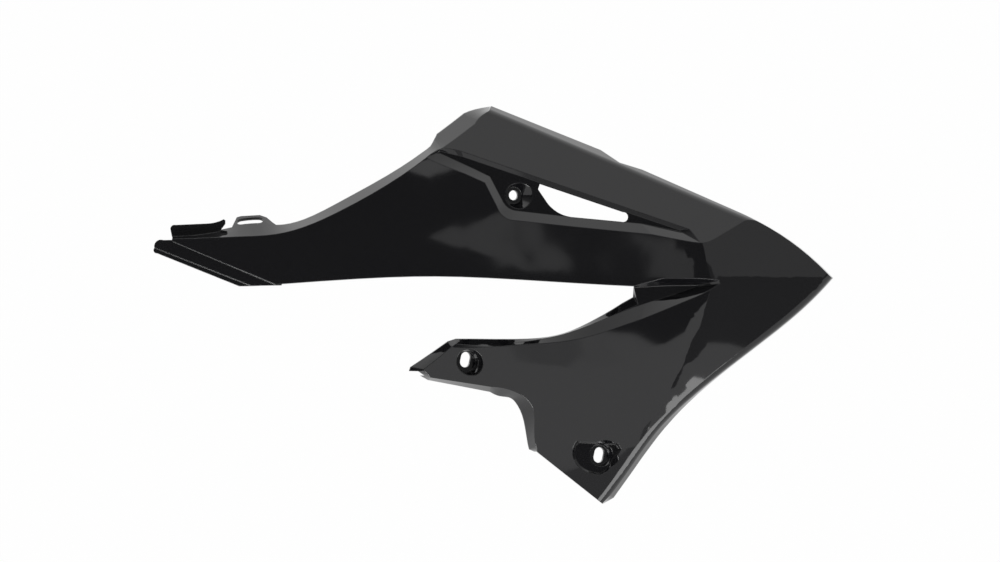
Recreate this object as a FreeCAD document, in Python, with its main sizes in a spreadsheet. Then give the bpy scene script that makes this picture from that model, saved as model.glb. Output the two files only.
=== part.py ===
import FreeCAD, Part
import math
import os

# A right-hand radiator shroud: a thin moulded panel with an arm, a raised blade, a nose and a leg.
# +X points forward along the bike, +Z up and +Y inboard, with the origin at the upper bolt seat.

doc = FreeCAD.newDocument("radiator_shroud")
sheet = doc.addObject("Spreadsheet::Sheet", "Sizes")

# Driving sizes in millimetres and degrees. A stretch is a plain ratio.
SIZES = [
    ("wall", 2.4),
    ("flange_depth", 12.0),
    ("leg_flange_depth", 6.5),
    ("stand_off", 12.0),
    ("arm_stretch", 1.0),
    ("nose_stretch", 1.0),
    ("leg_stretch", 1.0),
    ("crown_radius", 1100.0),
    ("sweep_radius", 3400.0),
    ("fold_slope", 0.40),
    ("fold_round", 6.0),
    ("blade_lean", 30.0),
    ("shoulder_lean", 66.0),
    ("shoulder_round", 9.0),
    ("front_round", 8.0),
    ("groove_depth", 5.8),
    ("ledge_depth", 3.8),
    ("bolt_tilt", 22.0),
    ("bolt_bore", 8.2),
    ("seat_width", 14.2),
    ("pocket_width", 24.4),
    ("pocket_depth", 7.0),
    ("pad_thickness", 3.0),
    ("slot_margin", 2.0),
    ("recess_depth", 4.5),
    ("recess_slope", 0.15),
    ("slot_width", 9.0),
    ("slot_length", 13.0),
    ("slot_lean", 12.0),
    ("lap_step", 2.0),
    ("lip_depth", 9.0),
    ("loop_slot_width", 7.5),
    ("loop_slot_length", 22.0),
]
for row, (name, value) in enumerate(SIZES, start=1):
    sheet.set(f"A{row}", name)
    sheet.set(f"B{row}", str(value))
    sheet.setAlias(f"B{row}", name)
doc.recompute()


def size(name):
    return float(sheet.get(name))


def shape_object(name, shape):
    thing = doc.addObject("Part::Feature", name)
    thing.Shape = shape
    return thing


# The outlines are drawn for stretches of 1. The arm, the nose and the leg grow from these roots.
ARM_ROOT = (-75.0, -87.0)
NOSE_ROOT = 195.0
LEG_ROOT = -175.0


def placed(x, z):
    if x < ARM_ROOT[0] and z > ARM_ROOT[1]:
        x = ARM_ROOT[0] + (x - ARM_ROOT[0]) * size("arm_stretch")
    if x > NOSE_ROOT:
        x = NOSE_ROOT + (x - NOSE_ROOT) * size("nose_stretch")
    if z < LEG_ROOT:
        z = LEG_ROOT + (z - LEG_ROOT) * size("leg_stretch")
    return x, z


def smooth_above(value, rounding):
    # A ramp that is 0 below zero and follows the value above it, rounded between.
    return 0.5 * (value + math.hypot(value, rounding))


# The outer face: depth y at a drawn place x, z. Each term is one bend of the real panel.
CROWN_LINE = -70.0
FOLD_BEND = (170.0, -73.0)
FOLD_BEND_ROUND = 6.0
FOLD_UPPER_LEAN = 0.36
FOLD_LOWER_LEAN = 0.33
FOLD_LOWER_CURVE = 0.00085


def fold_place(z):
    above = smooth_above(z - FOLD_BEND[1], FOLD_BEND_ROUND)
    below = smooth_above(FOLD_BEND[1] - z, FOLD_BEND_ROUND)
    return FOLD_BEND[0] - FOLD_UPPER_LEAN * above - FOLD_LOWER_LEAN * below - FOLD_LOWER_CURVE * below ** 2


def body_face(x, z):
    crown = (z - CROWN_LINE) ** 2 / (2 * size("crown_radius"))
    sweep = min(x, 0.0) ** 2 / (2 * size("sweep_radius"))
    fold = size("fold_slope") * smooth_above(x - fold_place(z), size("fold_round"))
    return crown + sweep + fold - size("stand_off")


# The raised blade is one leaning plane. Its top edge turns over a steeper shoulder plane.
BLADE_START = (158.0, -40.0)
SHOULDER_START = (-18.0, 70.6)
SHOULDER_END = (71.8, 32.8)


def blade_slopes():
    lean = math.tan(math.radians(size("blade_lean")))
    return 0.337 * lean - 0.019, 0.942 * lean + 0.007


def blade_face(x, z):
    along, up = blade_slopes()
    return body_face(*BLADE_START) + along * (x - BLADE_START[0]) + up * (z - BLADE_START[1])


def shoulder_slopes():
    # The shoulder leaves the blade along the line between its two landmarks.
    run = SHOULDER_END[0] - SHOULDER_START[0]
    rise = SHOULDER_END[1] - SHOULDER_START[1]
    step = blade_face(*SHOULDER_END) - blade_face(*SHOULDER_START)
    up = math.tan(math.radians(size("shoulder_lean"))) * run / math.hypot(run, rise)
    return (step - up * rise) / run, up


def shoulder_face(x, z):
    along, up = shoulder_slopes()
    return blade_face(*SHOULDER_START) + along * (x - SHOULDER_START[0]) + up * (z - SHOULDER_START[1])


def outer_face(x, z):
    return max(body_face(x, z), blade_face(x, z))


# The blocks behind the outer face.
FAR = 130.0
GRID_STEP = 14.0
GRID_LEFT, GRID_RIGHT = -330.0, 300.0
GRID_LOW, GRID_HIGH = -290.0, 110.0
inboard = FreeCAD.Vector(0, 1, 0)


def body_surface():
    columns = int((GRID_RIGHT - GRID_LEFT) / GRID_STEP) + 1
    rows = int((GRID_HIGH - GRID_LOW) / GRID_STEP) + 1
    grid = []
    for i in range(columns):
        x = GRID_LEFT + (GRID_RIGHT - GRID_LEFT) * i / (columns - 1)
        line = []
        for j in range(rows):
            z = GRID_LOW + (GRID_HIGH - GRID_LOW) * j / (rows - 1)
            across, up = placed(x, z)
            line.append(FreeCAD.Vector(across, body_face(x, z), up))
        grid.append(line)
    surface = Part.BSplineSurface()
    surface.interpolate(grid)
    return surface.toShape()


def plane_block(name, face):
    corners = []
    for x, z in ((-450, -400), (420, -400), (420, 160), (-450, 160)):
        corners.append(FreeCAD.Vector(x, face(x, z), z))
    plane = Part.Face(Part.makePolygon(corners + corners[:1]))
    return shape_object(name, plane.extrude(inboard * (12 * FAR)))


BODY_SURFACE = body_surface()
body = shape_object("body_block", BODY_SURFACE.extrude(inboard * FAR))
blade = plane_block("blade_block", blade_face)
shoulder = plane_block("shoulder_block", shoulder_face)


def moved(source, name, shift):
    # A copy of a block pushed inboard by an expression.
    thing = shape_object(name, source.Shape.copy())
    thing.setExpression("Placement.Base.y", shift)
    return thing


def common(name, *parts):
    thing = doc.addObject("Part::MultiCommon", name)
    thing.Shapes = list(parts)
    return thing


def fuse(name, *parts):
    thing = doc.addObject("Part::MultiFuse", name)
    thing.Shapes = list(parts)
    return thing


def cut(name, base, tool):
    thing = doc.addObject("Part::Cut", name)
    thing.Base = base
    thing.Tool = tool
    return thing


def follows(edge, path, slack):
    if edge.Length < 3:
        return False
    for share in (0.1, 0.5, 0.9):
        first, last = edge.ParameterRange
        point = edge.valueAt(first + (last - first) * share)
        if Part.Vertex(point).distToShape(path)[0] > slack:
            return False
    return True


def rounded(name, base, radius, path, slack):
    # Rounds those edges of a body that lie along a path.
    doc.recompute()
    thing = doc.addObject("Part::Fillet", name)
    thing.Base = base
    edges = []
    for number, edge in enumerate(base.Shape.Edges, start=1):
        if follows(edge, path, slack):
            edges.append((number, size(radius), size(radius)))
    thing.Edges = edges
    return thing


def shoulder_line():
    start = FreeCAD.Vector(SHOULDER_START[0], blade_face(*SHOULDER_START), SHOULDER_START[1])
    end = FreeCAD.Vector(SHOULDER_END[0], blade_face(*SHOULDER_END), SHOULDER_END[1])
    beyond = (end - start) * 5
    return Part.LineSegment(start - beyond, end + beyond).toShape()


roof = rounded("roof", common("roof_planes", blade, shoulder), "shoulder_round", shoulder_line(), 0.1)


# A level is a depth y at x = 0 and z = 0, and its slopes along x and z.
def from_face(depth, along=0.0, up=0.0):
    return depth - size("stand_off"), along, up


def level_y(level, x, z):
    return level[0] + level[1] * x + level[2] * z


def deeper(level, step):
    return level[0] + step, level[1], level[2]


# A drafted prism between two levels. Its outline is a list of runs, and a run is a list of
# pairs: the crease on the outer face, and where the wall has got to at the flange's rim.
class Pair:
    def __init__(self, crease, end, depth=None, rim=None, start=None, opened=None):
        self.crease = placed(*crease)
        self.end = placed(*end)
        self.y = outer_face(*crease) if start is None else start
        rim_y = rim(*end) if rim else outer_face(*end) + size("flange_depth")
        self.depth = depth if depth else rim_y - self.y
        self.opened = opened

    def at(self, level):
        # Where the wall's line meets a level.
        lean_x = (self.end[0] - self.crease[0]) / self.depth
        lean_z = (self.end[1] - self.crease[1]) / self.depth
        base_x = self.crease[0] - self.y * lean_x
        base_z = self.crease[1] - self.y * lean_z
        y = level_y(level, base_x, base_z) / (1 - level[1] * lean_x - level[2] * lean_z)
        return base_x + y * lean_x, base_z + y * lean_z

    def skin(self):
        # The wall's thickness, seen in a plane across y.
        lean = math.dist(self.crease, self.end) / self.depth
        return size("wall") * math.hypot(1.0, lean)


def to_level(crease, end, level):
    # A pair whose wall ends on a given level.
    return Pair(crease, end, level_y(level, *placed(*end)) - outer_face(*crease))


def run_edge(points, creases, level):
    # A straight side, or one curve through its points, paced alike at every depth.
    corners = [FreeCAD.Vector(x, level_y(level, x, z), z) for x, z in points]
    if len(corners) == 2:
        return Part.LineSegment(*corners).toShape()
    pace = [0.0]
    for here, there in zip(creases, creases[1:]):
        pace.append(pace[-1] + math.dist(here, there))
    curve = Part.BSplineCurve()
    curve.interpolate(Points=corners, Parameters=pace)
    return curve.toShape()


def grown(points, distances):
    # Moves each corner of a closed clockwise outline outward by its own distance.
    result = []
    for n, (x, z) in enumerate(points):
        before = points[n - 1]
        after = points[(n + 1) % len(points)]
        ax, az = x - before[0], z - before[1]
        bx, bz = after[0] - x, after[1] - z
        a_long, b_long = math.hypot(ax, az), math.hypot(bx, bz)
        mx = -az / a_long - bz / b_long
        mz = ax / a_long + bx / b_long
        reach = 2 * distances[n] / max(mx * mx + mz * mz, 0.8)
        result.append((x + mx * reach, z + mz * reach))
    return result


def drafted(name, runs, front, back, side=0, floor_skin=0.0):
    # side is 0 for the outline itself, 1 for a skin outside it and -1 for a skin inside it.
    pairs = [pair for run in runs for pair in run]
    wires = []
    for level, drop in ((front, 0.0), (back, floor_skin)):
        points = [pair.at(level) for pair in pairs]
        if side:
            sides = grown(points, [side * pair.skin() for pair in pairs])
            for n, pair in enumerate(pairs):
                if pair.opened:
                    sides[n] = (points[n][0] + pair.opened[0], points[n][1] + pair.opened[1])
            points = sides
        edges = []
        start = 0
        for run in runs:
            stop = start + len(run)
            span = [n % len(pairs) for n in range(start, stop + 1)]
            creases = [pairs[n].crease for n in span]
            edges.append(run_edge([points[n] for n in span], creases, deeper(level, drop)))
            start = stop
        wires.append(Part.Wire(edges))
    return shape_object(name, Part.makeLoft(wires, True, True))


FRONT = from_face(-3.0)

# The perimeter: arm top, hump, blade top, nose, front edge and foot, then a plain way round.
perimeter = [
    [
        Pair((-286, -36.5), (-286.3, -33.5)),
        Pair((-250, -35.3), (-250.7, -29.7)),
        Pair((-213.8, -34), (-215.5, -24.2)),
        Pair((-189.4, -30.7), (-192.8, -24.3)),
        Pair((-140.7, -10.9), (-144.9, -4.9)),
        Pair((-86.1, 21.8), (-89.5, 27)),
    ],
    [Pair((-69.3, 34.4), (-73, 38.6))],
    [Pair((-60.1, 39.1), (-66.6, 47))],
    [Pair((-57, 41.4), (-64.3, 51.7))],
    [Pair((-47.5, 48.3), (-52.5, 60.7))],
    [Pair((-32.3, 60.1), (-41.6, 69.3))],
    [Pair((-20.5, 70.9), (-20, 75))],
    [Pair((-18.6, 75), (-18.4, 75.4))],
    [Pair((72.9, 37.8), (73.5, 38.4))],
    [Pair((88.9, 27.4), (89.5, 27.9))],
    [Pair((108, 21.4), (108.4, 21.9))],
    [
        Pair((191.6, -15.3), (192, -14.9)),
        Pair((240.9, -44.7), (241.5, -44.1)),
    ],
    [
        Pair((267.5, -69.3), (269.2, -69.3)),
        Pair((240.7, -96.4), (241.5, -97.4)),
        Pair((191, -135.7), (192, -136.5)),
        Pair((147.4, -170), (149.1, -171.8)),
        Pair((117.6, -198.7), (122, -201.2)),
        Pair((96.2, -228), (100.5, -230.6)),
    ],
    [Pair((79.8, -250.7), (84, -253.7))],
    [Pair((74.3, -258.3), (74.8, -259))],
    [Pair((19.3, -214.6), (18.9, -215))],
    [Pair((-196, -216), (-196, -216), opened=(-16, -4))],
    [Pair((-199.3, -74.5), (-199.3, -74.5), opened=(-14, -6))],
    [Pair((-286, -38.5), (-286.3, -35.5), opened=(-14, -1))],
]
PERIMETER_BACK = from_face(56.0)
outline = drafted("outline", perimeter, FRONT, PERIMETER_BACK)
outline_inside = drafted("outline_inside", perimeter, FRONT, PERIMETER_BACK, -1)

# The leg's top edge: a shallow ledge, then a strip down to a rim that deepens toward the web.
LEDGE = from_face(size("ledge_depth"), 0.03)
LEG_RIM = from_face(5.5, 0.074)


def leg_rim_level(x, z):
    return level_y(LEG_RIM, x, z)


def leg_rim(x, z):
    return max(outer_face(x, z) + size("leg_flange_depth"), leg_rim_level(x, z))


def strip(line, silhouette):
    return Pair(line, silhouette, rim=leg_rim, start=level_y(LEDGE, *line))


# The notch between arm and leg.
notch = [
    [
        Pair((-230, -77), (-230, -77.4)),
        Pair((-136.5, -70.4), (-136.5, -70.8)),
        Pair((-69.3, -68), (-69.3, -68.4)),
        Pair((6.3, -70.8), (6.3, -71.2)),
    ],
    [Pair((100.4, -76.2), (100.4, -76.6))],
    [
        strip((104.2, -91.6), (99.5, -84.4)),
        strip((87, -99), (84, -94.7)),
        strip((65.5, -107.9), (63.5, -106.2)),
        strip((36.5, -117.6), (36.2, -116.9)),
        strip((-0.4, -123.5), (-0.8, -120.3)),
    ],
    [strip((-48.3, -124.3), (-48.3, -120))],
    [Pair((-52.5, -127.3), (-55, -122.1), rim=leg_rim)],
    [Pair((-75.2, -145.7), (-86.5, -143.8), rim=leg_rim)],
    [Pair((-77, -149), (-88, -148.5), rim=leg_rim)],
    [Pair((-110, -165), (-120, -165))],
    [Pair((-240, -165), (-240, -165))],
]
NOTCH_BACK = from_face(17.0, -0.02)
notch_void = drafted("notch_void", notch, FRONT, NOTCH_BACK)
notch_skin = drafted("notch_skin", notch, FRONT, NOTCH_BACK, 1)


def ledge_pair(rim, floor):
    return to_level(rim, floor, LEDGE)


# The ledge along the leg's top, which widens to the web that closes the notch's inner end.
ledge = [
    [ledge_pair((-60, -112), (-60, -112))],
    [ledge_pair((60, -95), (60, -95))],
    [ledge_pair((97, -79), (97, -79))],
    [ledge_pair((100.4, -76.2), (101, -77.2))],
    [ledge_pair((125.6, -69.5), (128, -75.6))],
    [ledge_pair((172, -71.4), (155, -75.2))],
    [ledge_pair((173, -74), (153, -77))],
    [
        ledge_pair((107, -103.7), (110.5, -90.5)),
        ledge_pair((94.5, -108), (97.5, -95)),
        ledge_pair((65.5, -117.6), (65.5, -107.9)),
        ledge_pair((36.5, -122.9), (36.5, -117.6)),
        ledge_pair((-2.1, -125.3), (-0.4, -123.5)),
    ],
    [ledge_pair((-50, -127.1), (-47, -124.2))],
]
ledge_void = drafted("ledge_void", ledge, FRONT, LEDGE)
ledge_skin = drafted("ledge_skin", ledge, FRONT, LEDGE, 1, size("wall"))

# The bay behind the leg, below the tab.
bay = [
    [Pair((-240, -130), (-240, -130))],
    [Pair((-110, -130), (-120, -130))],
    [Pair((-90, -147.2), (-100, -147))],
    [Pair((-74, -147.4), (-85, -147.2))],
    [Pair((-69.7, -152.5), (-71.8, -154.8))],
    [
        Pair((-18.9, -160.3), (-19.7, -164.8)),
        Pair((-0.4, -163.8), (-6.3, -169)),
        Pair((10.5, -170.3), (0.8, -172.6)),
        Pair((15.8, -177.3), (5.9, -181)),
        Pair((17.6, -190.3), (9.7, -195.3)),
    ],
    [Pair((18.9, -210.4), (13, -213))],
    [Pair((19.7, -215), (18.9, -215.5))],
    [Pair((0, -245), (0, -245))],
    [Pair((-240, -245), (-240, -245))],
]
BAY_BACK = from_face(25.0)
bay_void = drafted("bay_void", bay, FRONT, BAY_BACK)
bay_skin = drafted("bay_skin", bay, FRONT, BAY_BACK, 1)

# The groove under the blade. Its rear end runs out over the arm's top flange.
GROOVE_MIDDLE = (20.0, 0.0)
GROOVE_ALONG, GROOVE_RISE = 0.012, 0.075
groove_middle = outer_face(*GROOVE_MIDDLE) - GROOVE_MIDDLE[0] * GROOVE_ALONG
groove_floor = (groove_middle + size("groove_depth"), GROOVE_ALONG, GROOVE_RISE)


def groove_pair(rim, floor):
    return to_level(rim, floor, groove_floor)


groove = [
    [groove_pair((-66, 38), (-61.5, 37))],
    [groove_pair((-51.7, 38.6), (-49.5, 34))],
    [groove_pair((-44.1, 37), (-42, 32))],
    [groove_pair((147, -28.4), (138.5, -29.2))],
    [groove_pair((156, -39.6), (139.5, -30.4))],
    [groove_pair((115.5, -32.7), (107.1, -23.9))],
    [groove_pair((48.3, -26.1), (48.3, -18.4))],
    [
        groove_pair((1.3, -21), (1.8, -13)),
        groove_pair((-6.7, -18.9), (-3.8, -10.9)),
    ],
    [groove_pair((-13.9, -9.2), (-9.7, -3.8))],
    [groove_pair((-23.9, 10.5), (-19.7, 15.5))],
    [groove_pair((-40.7, 18.1), (-33, 22))],
    [groove_pair((-69.3, 29.4), (-60.9, 34.9))],
    [groove_pair((-73, 31.5), (-63.5, 35.8))],
]
groove_void = drafted("groove_void", groove, FRONT, groove_floor)
groove_skin = drafted("groove_skin", groove, FRONT, groove_floor, 1, size("wall"))


def flat_prism(name, path):
    # A prism straight through, from a path of (x, z) corners. A tuple of three is an arc's middle.
    front, back = -40.0, 80.0
    edges = []
    n = 0
    place = []
    for step in path:
        x, z = placed(step[0], step[1])
        place.append(FreeCAD.Vector(x, front, z))
    while n < len(path):
        after = (n + 1) % len(path)
        if len(path[after]) == 3:
            end = (n + 2) % len(path)
            edges.append(Part.Arc(place[n], place[after], place[end]).toShape())
            n += 2
        else:
            edges.append(Part.LineSegment(place[n], place[after]).toShape())
            n += 1
    face = Part.Face(Part.Wire(edges))
    return shape_object(name, face.extrude(inboard * (back - front)))


def slab(name, shift, thickness, prism):
    # The part of a prism within a layer of the body, which is pushed inboard by an expression.
    layer = shape_object(name + "_layer", BODY_SURFACE.extrude(inboard * thickness))
    if shift:
        layer.setExpression("Placement.Base.y", shift)
    return common(name, layer, prism)


# The bolt seats. They all face outward and a little forward, square to the bolts.
tilt = math.radians(size("bolt_tilt"))
BOLT_OUT = FreeCAD.Vector(math.sin(tilt), -math.cos(tilt), 0)
BOLT_ACROSS = FreeCAD.Vector(math.cos(tilt), math.sin(tilt), 0)
BOLT_TURN = FreeCAD.Rotation(BOLT_ACROSS, FreeCAD.Vector(0, 0, 1), BOLT_OUT, "ZYX")
CONE_EXTRA = 1.7
HOLE_LEAD = 2.0


def bolt_place(centre, back=0.0):
    return FreeCAD.Placement(centre - BOLT_OUT * back, BOLT_TURN)


def cone_pocket(name, centre, seat, rim, depth):
    # A pocket that narrows to a flat round seat, and the skin round it.
    void = doc.addObject("Part::Cone", name + "_void")
    void.setExpression("Radius1", f"{seat} / 2")
    void.setExpression("Radius2", f"({seat} + ({rim} - {seat}) * {CONE_EXTRA}) / 2")
    void.setExpression("Height", f"{depth} * {CONE_EXTRA}")
    void.Placement = bolt_place(centre)
    skin_cone = doc.addObject("Part::Cone", name + "_skin")
    skin_cone.setExpression("Radius1", f"{seat} / 2 + Sizes.wall * 0.8")
    skin_cone.setExpression("Radius2", f"({seat} + ({rim} - {seat}) * {CONE_EXTRA}) / 2 + Sizes.wall * 1.4")
    skin_cone.setExpression("Height", f"{depth} * {CONE_EXTRA} + Sizes.pad_thickness")
    skin_cone.Placement = bolt_place(centre, size("pad_thickness"))
    return void, skin_cone


def bolt_hole(name, centre, width):
    hole = doc.addObject("Part::Cylinder", name)
    hole.setExpression("Radius", f"{width} / 2")
    hole.setExpression("Height", f"Sizes.pad_thickness + {2 * HOLE_LEAD}")
    hole.Placement = bolt_place(centre, size("pad_thickness") + HOLE_LEAD)
    return hole


def slot_hole(name, centre):
    # An obround hole that leans forward at its top.
    half = (size("slot_length") - size("slot_width")) / 2
    radius = size("slot_width") / 2
    corners = {}
    for side in (-1, 1):
        for end in (-1, 1):
            corners[side, end] = FreeCAD.Vector(side * radius, end * half, 0)
    top = FreeCAD.Vector(0, half + radius, 0)
    low = FreeCAD.Vector(0, -half - radius, 0)
    wire = Part.Wire([
        Part.LineSegment(corners[-1, -1], corners[-1, 1]).toShape(),
        Part.Arc(corners[-1, 1], top, corners[1, 1]).toShape(),
        Part.LineSegment(corners[1, 1], corners[1, -1]).toShape(),
        Part.Arc(corners[1, -1], low, corners[-1, -1]).toShape(),
    ])
    length = size("pad_thickness") + 2 * HOLE_LEAD
    hole = shape_object(name, Part.Face(wire).extrude(FreeCAD.Vector(0, 0, length)))
    lean = FreeCAD.Rotation(FreeCAD.Vector(0, 0, 1), -size("slot_lean"))
    back = size("pad_thickness") + HOLE_LEAD
    hole.Placement = FreeCAD.Placement(centre - BOLT_OUT * back, BOLT_TURN * lean)
    return hole


def view_disc(name, x, z, width):
    # A round prism along the line of sight, which bounds what a pocket takes away.
    disc = doc.addObject("Part::Cylinder", name)
    disc.setExpression("Radius", f"{width} / 2")
    disc.Height = 120
    disc.Placement = FreeCAD.Placement(
        FreeCAD.Vector(x, 80, z), FreeCAD.Rotation(FreeCAD.Vector(1, 0, 0), 90)
    )
    return disc


upper_bolt = FreeCAD.Vector(0, 0, 0)
upper_void, upper_skin = cone_pocket(
    "upper_pocket", upper_bolt, "Sizes.seat_width", "Sizes.pocket_width", "Sizes.pocket_depth"
)
upper_rim = view_disc("upper_rim", size("pocket_depth") * math.sin(tilt) + 0.9, 0.4, "Sizes.pocket_width")
upper_pocket = common("upper_pocket", upper_void, upper_rim)
upper_hole = bolt_hole("upper_hole", upper_bolt, "Sizes.bolt_bore")

# Both slots sit in pockets that leave a margin round the slot at the seat and more at the rim.
SLOT_SEAT = "(Sizes.slot_length + 2 * Sizes.slot_margin)"
SLOT_RIM = "(Sizes.slot_length + 5 * Sizes.slot_margin)"
TAB_SEAT = (-39.5, -139.2)
tab_bolt = FreeCAD.Vector(TAB_SEAT[0], outer_face(*TAB_SEAT) + size("pocket_depth"), TAB_SEAT[1])
tab_void, tab_skin = cone_pocket("tab_pocket", tab_bolt, SLOT_SEAT, SLOT_RIM, "Sizes.pocket_depth")
tab_rim = view_disc("tab_rim", -37.0, -140.5, SLOT_RIM)
tab_pocket = common("tab_pocket", tab_void, tab_rim)
tab_hole = slot_hole("tab_hole", tab_bolt + FreeCAD.Vector(-0.8, 0, 1.6))

# The foot's pocket is a shallow recess, round behind and straight in front, with a well in it.
FOOT_SEAT = (71.6, -217.6)
foot_face = outer_face(*FOOT_SEAT)
foot_slope = size("recess_slope")
foot_floor = (foot_face + size("recess_depth") - FOOT_SEAT[0] * foot_slope, foot_slope, 0.0)
foot = [
    [
        to_level((72.5, -234.2), (72.5, -232.8), foot_floor),
        to_level((65.5, -233.0), (66.0, -231.8), foot_floor),
        to_level((53.8, -226.5), (55.2, -225.6), foot_floor),
        to_level((49.4, -215), (51.2, -215), foot_floor),
    ],
    [to_level((53.0, -205.8), (54.6, -207), foot_floor)],
    [to_level((87.2, -207.6), (85.6, -208.8), foot_floor)],
    [to_level((90.3, -212.5), (88.6, -212.8), foot_floor)],
    [to_level((78.5, -231.2), (77.4, -230), foot_floor)],
]
FOOT_FRONT = (foot_face - 5.0, 0.0, 0.0)
foot_recess = drafted("foot_recess", foot, FOOT_FRONT, foot_floor)
foot_recess_skin = drafted("foot_recess_skin", foot, FOOT_FRONT, foot_floor, 1, size("wall"))
foot_x, foot_z = placed(*FOOT_SEAT)
foot_bolt = FreeCAD.Vector(foot_x, foot_face + size("pocket_depth"), foot_z)
foot_void, foot_skin = cone_pocket("foot_pocket", foot_bolt, SLOT_SEAT, SLOT_RIM, "Sizes.pocket_depth")
foot_hole = slot_hole("foot_hole", foot_bolt)

window = flat_prism("window", [
    (22.0, 9.3),
    (91.5, -14.2),
    (95.8, -18.6, "arc"),
    (90.5, -22.2),
    (48.3, -18.2),
    (36.5, -14.0, "arc"),
    (28.0, -6.0),
    (20.6, 5.0),
])

# What the leg's top flange leaves open behind it.
leg_top = flat_prism("leg_top", [
    (-99, -151),
    (-99, -82),
    (99, -82),
    (99, -110),
    (92, -117),
    (62, -126),
    (20, -132),
    (-45, -135),
    (-66, -142),
    (-73, -151),
])
leg_body_back = moved(body, "leg_body_back", "Sizes.leg_flange_depth")
leg_back = common("leg_back", leg_body_back, plane_block("leg_rim_block", leg_rim_level), leg_top)

# The skin, open at the back, with its flanges.
body_inner = moved(body, "body_inner", "Sizes.wall")
blade_inner = moved(blade, "blade_inner", "Sizes.wall")
shoulder_inner = moved(shoulder, "shoulder_inner", "Sizes.wall / cos(Sizes.shoulder_lean)")
body_back = moved(body, "body_back", "Sizes.flange_depth")
blade_back = moved(blade, "blade_back", "Sizes.flange_depth")
face_block = common("face_block", body, roof)
inner_block = common("inner_block", body_inner, blade_inner, shoulder_inner)
back_block = common("back_block", body_back, blade_back)
envelope = common("envelope", outline, face_block)
rim_limited = cut("rim_limited", cut("rim_cut", envelope, back_block), leg_back)


def front_edge_line():
    # The leg's front edge and the nose's lower edge, where the face turns into the flange.
    front_run = [run for run in perimeter if len(run) == 6][-1]
    curve = Part.BSplineCurve()
    curve.interpolate([FreeCAD.Vector(pair.crease[0], pair.y, pair.crease[1]) for pair in front_run])
    return curve.toShape()


rim_rounded = rounded("rim_rounded", rim_limited, "front_round", front_edge_line(), 3.0)
hollow_start = common("hollow_start", outline_inside, inner_block)
hollow = cut("hollow", hollow_start, fuse("edge_skins", notch_skin, bay_skin))
skin = cut("skin", rim_rounded, hollow)
tray_skins = fuse(
    "tray_skins", groove_skin, ledge_skin, upper_skin, tab_skin, foot_recess_skin, foot_skin,
)
tray = common("tray", envelope, tray_skins)

# The tail lap: two steps down that tuck under the side panel.
step_and_wall = size("lap_step") + size("wall")
lap = slab("lap", "Sizes.lap_step", size("wall"), flat_prism("lap_outline", [
    (-300.9, -44.0),
    (-300.0, -39.5, "arc"),
    (-293.6, -37.5),
    (-280, -37.3),
    (-194, -73),
    (-194, -75.5),
    (-219.7, -75.9),
]))
lap_riser = slab("lap_riser", "", step_and_wall, flat_prism("lap_riser_outline", [
    (-286, -38.5),
    (-280, -37.5),
    (-192, -73.6),
    (-199.3, -74.9),
]))
low_lap = slab("low_lap", "Sizes.lap_step * 2", size("wall"), flat_prism("low_lap_outline", [
    (-298.6, -48.7),
    (-301.6, -46.6, "arc"),
    (-300.9, -44.0),
    (-296, -41.5),
    (-212, -75.0),
    (-213, -75.9),
    (-222.2, -76.2),
    (-229.7, -76.3),
]))
low_riser = slab("low_riser", "Sizes.lap_step", step_and_wall, flat_prism("low_riser_outline", [
    (-300.6, -44.1),
    (-297.5, -42.4),
    (-215, -75.0),
    (-219.7, -75.9),
]))

# The hook lip that stands up behind the tail's top flange.
lip = slab("lip", "Sizes.lip_depth", size("wall"), flat_prism("lip_outline", [
    (-286.4, -34.6),
    (-287.7, -28.1),
    (-286.8, -25.8, "arc"),
    (-283.5, -24.8),
    (-256.6, -23.6),
    (-249.5, -22.6, "arc"),
    (-242.8, -20),
    (-241.5, -21),
    (-241.5, -24),
    (-246.0, -30.0),
    (-256.6, -32.9),
]))

# The loop on the arm's top flange, which carries the flange on inboard.
loop_ring = common("loop_ring", cut("loop_wall", outline, outline_inside), flat_prism("loop_outline", [
    (-236.5, -27.5),
    (-232.3, -18.3),
    (-228.9, -17.3),
    (-212.9, -16.4),
    (-207.1, -18.4),
    (-202, -22.6),
    (-197, -26),
    (-197, -27.5),
]))


def loop_hole():
    base = perimeter[0][2]
    lean = math.atan2(base.end[1] - base.crease[1], base.depth)
    inward = FreeCAD.Vector(0, math.cos(lean), math.sin(lean))
    square = FreeCAD.Vector(0, -math.sin(lean), math.cos(lean))
    centre_x, centre_z = placed(-221.0, -20.9)
    centre_y = base.y + (centre_z - base.crease[1]) / math.tan(lean)
    centre = FreeCAD.Vector(centre_x, centre_y, centre_z)
    half = (size("loop_slot_length") - size("loop_slot_width")) / 2
    radius = size("loop_slot_width") / 2
    long = FreeCAD.Vector(1, 0, 0)
    start = centre - square * 10
    wire = Part.Wire([
        Part.LineSegment(start - long * half + inward * radius, start + long * half + inward * radius).toShape(),
        Part.Arc(
            start + long * half + inward * radius,
            start + long * (half + radius),
            start + long * half - inward * radius,
        ).toShape(),
        Part.LineSegment(start + long * half - inward * radius, start - long * half - inward * radius).toShape(),
        Part.Arc(
            start - long * half - inward * radius,
            start - long * (half + radius),
            start - long * half + inward * radius,
        ).toShape(),
    ])
    return shape_object("loop_slot", Part.Face(wire).extrude(square * 20))


loop_slot = loop_hole()
solid = fuse("solid", skin, tray)
voids = fuse(
    "voids", notch_void, bay_void, groove_void, ledge_void, upper_pocket, tab_pocket, foot_recess, foot_void,
)
moulding = cut("moulding", solid, voids)
with_tail = fuse("with_tail", moulding, lap, lap_riser, low_lap, low_riser, lip, loop_ring)
holes = fuse("holes", upper_hole, tab_hole, foot_hole, window, loop_slot)
shroud = cut("shroud", with_tail, holes)
shroud.Label = "radiator_shroud"
doc.recompute()

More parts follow.
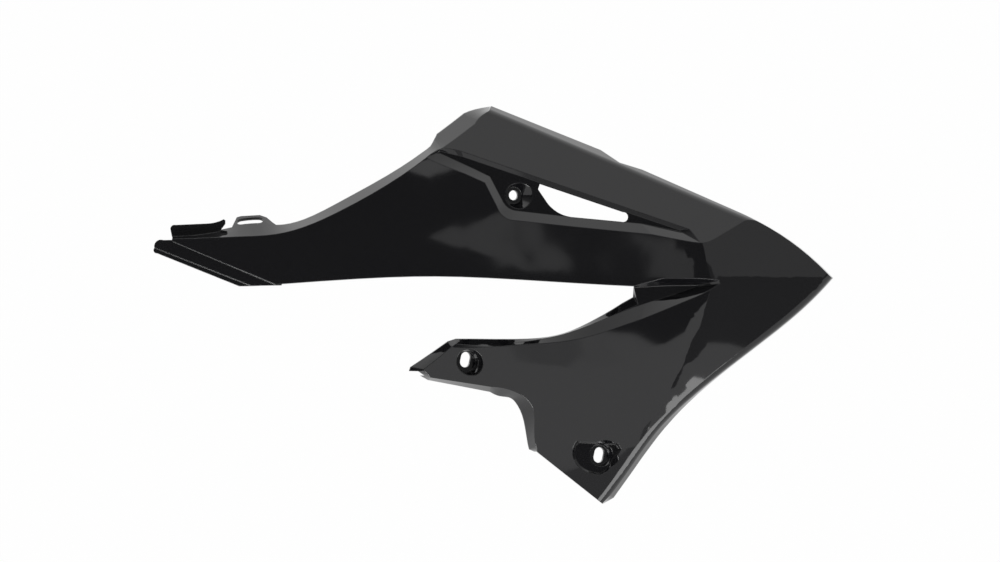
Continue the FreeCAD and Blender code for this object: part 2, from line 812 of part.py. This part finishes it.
# Nothing is handed on unless every step came out sound and the shroud is one piece.
unsound = []
for thing in doc.Objects:
    if "Invalid" in thing.State or "Error" in thing.State:
        unsound.append(thing.Name)
    elif hasattr(thing, "Shape") and (thing.Shape.isNull() or not thing.Shape.isValid()):
        unsound.append(thing.Name)
if unsound or len(shroud.Shape.Solids) != 1:
    raise SystemExit(f"unsound: {unsound}, pieces: {len(shroud.Shape.Solids)}")
os.makedirs("parts", exist_ok=True)
shroud.Shape.exportStep("parts/radiator_shroud.step")
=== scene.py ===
import math
import bpy
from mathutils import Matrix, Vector

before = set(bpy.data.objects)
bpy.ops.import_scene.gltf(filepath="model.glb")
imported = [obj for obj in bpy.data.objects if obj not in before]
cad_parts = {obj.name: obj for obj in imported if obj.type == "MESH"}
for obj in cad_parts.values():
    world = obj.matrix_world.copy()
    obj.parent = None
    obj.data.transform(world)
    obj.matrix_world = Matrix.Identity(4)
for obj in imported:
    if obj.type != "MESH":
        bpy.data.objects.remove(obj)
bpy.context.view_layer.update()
print("frame loaded")


# A socket that does maths: each operator adds a Math node to the tree.
class Wire:
    def __init__(self, tree, socket):
        self.tree = tree
        self.socket = socket

    def maths(self, operation, *others):
        node = self.tree.nodes.new("ShaderNodeMath")
        node.operation = operation
        for slot, value in zip(node.inputs, (self,) + others):
            joinUp(self.tree, slot, value)
        return Wire(self.tree, node.outputs[0])

    def __add__(self, other):
        return self.maths("ADD", other)

    def __radd__(self, other):
        return self.maths("ADD", other)

    def __sub__(self, other):
        return self.maths("SUBTRACT", other)

    def __rsub__(self, other):
        return self.maths("MULTIPLY", -1.0) + other

    def __mul__(self, other):
        return self.maths("MULTIPLY", other)

    def __rmul__(self, other):
        return self.maths("MULTIPLY", other)

    def __truediv__(self, other):
        return self.maths("DIVIDE", other)

    def __rtruediv__(self, other):
        return self.maths("POWER", -1.0) * other

    def clamped(self, low, high):
        return self.maths("MAXIMUM", low).maths("MINIMUM", high)


def joinUp(tree, slot, value):
    if isinstance(value, Wire):
        tree.links.new(value.socket, slot)
    else:
        slot.default_value = value


def addNode(tree, kind, settings=None, **sockets):
    # one method for every node that isn't plain maths, by its settings and its sockets' names
    node = tree.nodes.new(kind)
    for name, value in (settings or {}).items():
        if name == "stops":
            ramp = node.color_ramp
            while len(ramp.elements) < len(value):
                ramp.elements.new(0.5)
            for element, (place, shade) in zip(ramp.elements, value):
                element.position = place
                element.color = (shade, shade, shade, 1)
        else:
            setattr(node, name, value)
    for name, value in sockets.items():
        joinUp(tree, node.inputs[name.replace("_", " ")], value)
    return node


def newMaterial(name):
    material = bpy.data.materials.new(name)
    material.use_nodes = True
    material.node_tree.nodes.clear()
    return material, material.node_tree


def finishMaterial(tree, shader):
    out = addNode(tree, "ShaderNodeOutputMaterial")
    tree.links.new(shader.outputs[0], out.inputs["Surface"])


# The moulding: polished outside and satin inside, with slightly softened edges.
plastic = {
    "black": (0.0045, 0.0045, 0.0052, 1),
    "gloss": 0.035,
    "satin": 0.30,
    "satinFrom": 0.05,
    "satinWidth": 0.25,
    "hazeScale": 45.0,
    "hazeShare": 0.015,
    "waveScale": 16.0,
    "waveHeight": 0.00025,
    "grainScale": 1400.0,
    "grainHeight": 0.00002,
    "edgeRadius": 0.0009,
}


def glossPlastic():
    material, tree = newMaterial("shroudGlossBlack")
    coordinates = addNode(tree, "ShaderNodeTexCoord").outputs
    place = Wire(tree, coordinates["Object"])
    facing = addNode(tree, "ShaderNodeSeparateXYZ", Vector=Wire(tree, coordinates["Normal"]))
    inward = Wire(tree, facing.outputs["Y"]) - plastic["satinFrom"]
    inner = (inward / plastic["satinWidth"]).clamped(0.0, 1.0)
    haze = addNode(tree, "ShaderNodeTexNoise", Vector=place, Scale=plastic["hazeScale"], Detail=3.0)
    wave = addNode(tree, "ShaderNodeTexNoise", Vector=place, Scale=plastic["waveScale"], Detail=1.0)
    grain = addNode(
        tree, "ShaderNodeTexNoise", Vector=place, Scale=plastic["grainScale"], Detail=2.0,
    )
    roughness = Wire(tree, haze.outputs["Fac"]) * plastic["hazeShare"] + plastic["gloss"]
    roughness = roughness + inner * (plastic["satin"] - plastic["gloss"])
    height = Wire(tree, wave.outputs["Fac"]) * plastic["waveHeight"]
    height = height + Wire(tree, grain.outputs["Fac"]) * inner * plastic["grainHeight"]
    edges = addNode(tree, "ShaderNodeBevel", {"samples": 6}, Radius=plastic["edgeRadius"])
    bump = addNode(
        tree, "ShaderNodeBump",
        Height=height, Strength=1.0, Distance=1.0, Normal=Wire(tree, edges.outputs["Normal"]),
    )
    shader = addNode(
        tree, "ShaderNodeBsdfPrincipled",
        Base_Color=plastic["black"], Roughness=roughness, IOR=1.5,
        Normal=Wire(tree, bump.outputs["Normal"]),
    )
    finishMaterial(tree, shader)
    return material


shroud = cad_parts["radiator_shroud"]
shroud.data.materials.clear()
shroud.data.materials.append(glossPlastic())
print("shroud finished")

# The studio: a wide white paper floor that sweeps up far behind, under a soft sky that is dimmer
# in front and low.
studio = {
    "objectPlane": -0.014,
    "lookAt": (-0.0113, -0.0718),
    "distance": 8.0,
    "frameWidth": 0.836,
    "sensor": 36.0,
    "clipEnd": 50,
    "floor": -1.6,
    "floorFront": -14.0,
    "sweepStart": 12.0,
    "sweepRadius": 1.5,
    "sweepTop": 3.0,
    "sweepSteps": 24,
    "halfWidth": 14.0,
    "whiteness": 0.985,
    "paperColour": (0.8, 0.8, 0.8, 1),
}


def meshPiece(name, corners, faces, material, smooth=False):
    mesh = bpy.data.meshes.new(name)
    mesh.from_pydata([Vector(corner) for corner in corners], [], faces)
    for polygon in mesh.polygons:
        polygon.use_smooth = smooth
    piece = bpy.data.objects.new(name, mesh)
    bpy.context.scene.collection.objects.link(piece)
    mesh.materials.append(material)
    return piece


def paperMaterial(whiteness):
    # white to the camera, to glossy rays and to clear ones, and plain pale to the light
    material, tree = newMaterial("studioPaper")
    path = addNode(tree, "ShaderNodeLightPath").outputs
    seen = Wire(tree, path["Is Camera Ray"]) + Wire(tree, path["Is Glossy Ray"])
    seen = (seen + Wire(tree, path["Is Transmission Ray"])).clamped(0.0, 1.0)
    pale = addNode(tree, "ShaderNodeBsdfDiffuse", Color=studio["paperColour"])
    white = addNode(tree, "ShaderNodeEmission", Color=(1, 1, 1, 1), Strength=1.0)
    mix = addNode(tree, "ShaderNodeMixShader", Fac=seen * whiteness)
    tree.links.new(pale.outputs[0], mix.inputs[1])
    tree.links.new(white.outputs[0], mix.inputs[2])
    finishMaterial(tree, mix)
    return material


def paperSweep():
    low, radius, half = studio["floor"], studio["sweepRadius"], studio["halfWidth"]
    start = studio["sweepStart"]
    profile = [(studio["floorFront"], low), (start, low)]
    for step in range(1, studio["sweepSteps"]):
        angle = math.pi / 2 * step / studio["sweepSteps"]
        profile.append((start + radius * math.sin(angle), low + radius * (1 - math.cos(angle))))
    profile.append((start + radius, low + radius))
    profile.append((start + radius, studio["sweepTop"]))
    corners = []
    for y, z in profile:
        corners.extend([(-half, y, z), (half, y, z)])
    faces = []
    for n in range(len(profile) - 1):
        faces.append((2 * n, 2 * n + 1, 2 * n + 3, 2 * n + 2))
    return meshPiece("studioSweep", corners, faces, paperMaterial(studio["whiteness"]), smooth=True)


paperSweep()


def glowMaterial(name, brightness):
    # a lamp that stands out of the picture, as Blender's own area lamps do
    material, tree = newMaterial(name)
    lamp = addNode(tree, "ShaderNodeEmission", Color=(1, 1, 1, 1), Strength=brightness)
    clear = addNode(tree, "ShaderNodeBsdfTransparent")
    hidden = Wire(tree, addNode(tree, "ShaderNodeLightPath").outputs["Is Camera Ray"])
    mix = addNode(tree, "ShaderNodeMixShader", Fac=hidden)
    tree.links.new(lamp.outputs[0], mix.inputs[1])
    tree.links.new(clear.outputs[0], mix.inputs[2])
    finishMaterial(tree, mix)
    return material


def glowPanel(name, corners, brightness):
    return meshPiece(name, corners, [(0, 1, 2, 3)], glowMaterial(name + "Glow", brightness))


def aimedPanel(name, place, target, width, height, brightness):
    # a softbox that faces a point, with its long side level
    out = (Vector(place) - Vector(target)).normalized()
    side = out.cross(Vector((0, 0, 1))).normalized() * width / 2
    up = side.cross(out).normalized() * height / 2
    middle = Vector(place)
    corners = [middle - side - up, middle + side - up, middle + side + up, middle - side + up]
    return glowPanel(name, corners, brightness)


# Softboxes: far ones behind the camera for the panes of light on the flat faces, two for the nose,
# and low ones for the bright lines on edges that turn down.
farPlane = -9.0
farPanels = {
    "armPane": ([(-0.533, 0.524), (-0.19, 0.922), (0.043, 0.768), (0.102, 0.037)], 0.7),
    "crownPane": ([(-0.75, 1.5), (-0.2, 1.5), (-0.3, 1.75), (-0.75, 1.95)], 1.1),
    "webPane": ([(0.27, -0.02), (0.25, 0.5), (0.45, 0.5), (0.58, -0.02)], 0.6),
    "legPane": ([(0.02, -1.36), (0.02, -1.03), (0.15, -1.03), (0.15, -1.36)], 0.7),
}
for name, (corners, brightness) in farPanels.items():
    glowPanel(name, [(x, farPlane, z) for x, z in corners], brightness)
aimedPanel("noseBox", (1.7, -1.73, 0.62), (0.2, 0, -0.05), 1.7, 0.8, 0.62)
aimedPanel("noseLowBox", (1.75, -1.75, -0.36), (0.2, 0, -0.1), 1.9, 1.25, 0.24)
aimedPanel("legEdgeBox", (0.50, -0.60, -0.68), (0.1, 0, -0.22), 0.75, 0.35, 5.0)
aimedPanel("tailEdgeBox", (-0.51, -0.58, -0.69), (-0.25, 0, -0.05), 0.4, 0.4, 12.0)
aimedPanel("grooveBox", (0.05, -1.3, -0.76), (0.03, 0, 0), 0.7, 0.25, 0.5)


# The sky by the share of the half turn from straight ahead, over the top, to straight behind.
sky = {
    "strength": 2.0,
    "stops": [
        (0.0, 0.05), (0.07, 0.05), (0.14, 0.12), (0.22, 0.30),
        (0.33, 0.55), (0.47, 0.75), (0.69, 0.85), (1.0, 0.85),
    ],
    "leftFrom": -0.78,  # the far left is dimmer
    "leftWidth": 0.15,
    "leftLevel": 0.3,
}


def skyGradient():
    world = bpy.data.worlds.new("studioSky")
    bpy.context.scene.world = world
    world.use_nodes = True
    tree = world.node_tree
    tree.nodes.clear()
    direction = addNode(tree, "ShaderNodeTexCoord").outputs["Generated"]
    split = addNode(tree, "ShaderNodeSeparateXYZ", Vector=Wire(tree, direction))
    ahead = Wire(tree, split.outputs["Y"]) * -1.0
    angle = Wire(tree, split.outputs["Z"]).maths("ARCTAN2", ahead)
    share = (angle / math.pi).clamped(0.0, 1.0)
    leftShade = (Wire(tree, split.outputs["X"]) - sky["leftFrom"]) / sky["leftWidth"]
    glow = addNode(tree, "ShaderNodeValToRGB", {"stops": sky["stops"]}, Fac=share)
    light = addNode(
        tree, "ShaderNodeBackground",
        Color=Wire(tree, glow.outputs["Color"]),
        Strength=leftShade.clamped(sky["leftLevel"], 1.0) * sky["strength"],
    )
    out = addNode(tree, "ShaderNodeOutputWorld")
    tree.links.new(light.outputs[0], out.inputs["Surface"])


skyGradient()


def photoCamera():
    camera = bpy.data.cameras.new("photoCamera")
    camera.sensor_width = studio["sensor"]
    camera.lens = studio["sensor"] * studio["distance"] / studio["frameWidth"]
    camera.clip_end = studio["clipEnd"]
    thing = bpy.data.objects.new("photoCamera", camera)
    bpy.context.scene.collection.objects.link(thing)
    across, up = studio["lookAt"]
    thing.location = (across, studio["objectPlane"] - studio["distance"], up)
    thing.rotation_euler = (math.pi / 2, 0, 0)
    bpy.context.scene.camera = thing


photoCamera()
bpy.context.scene.view_settings.view_transform = "Standard"
print("studio finished")
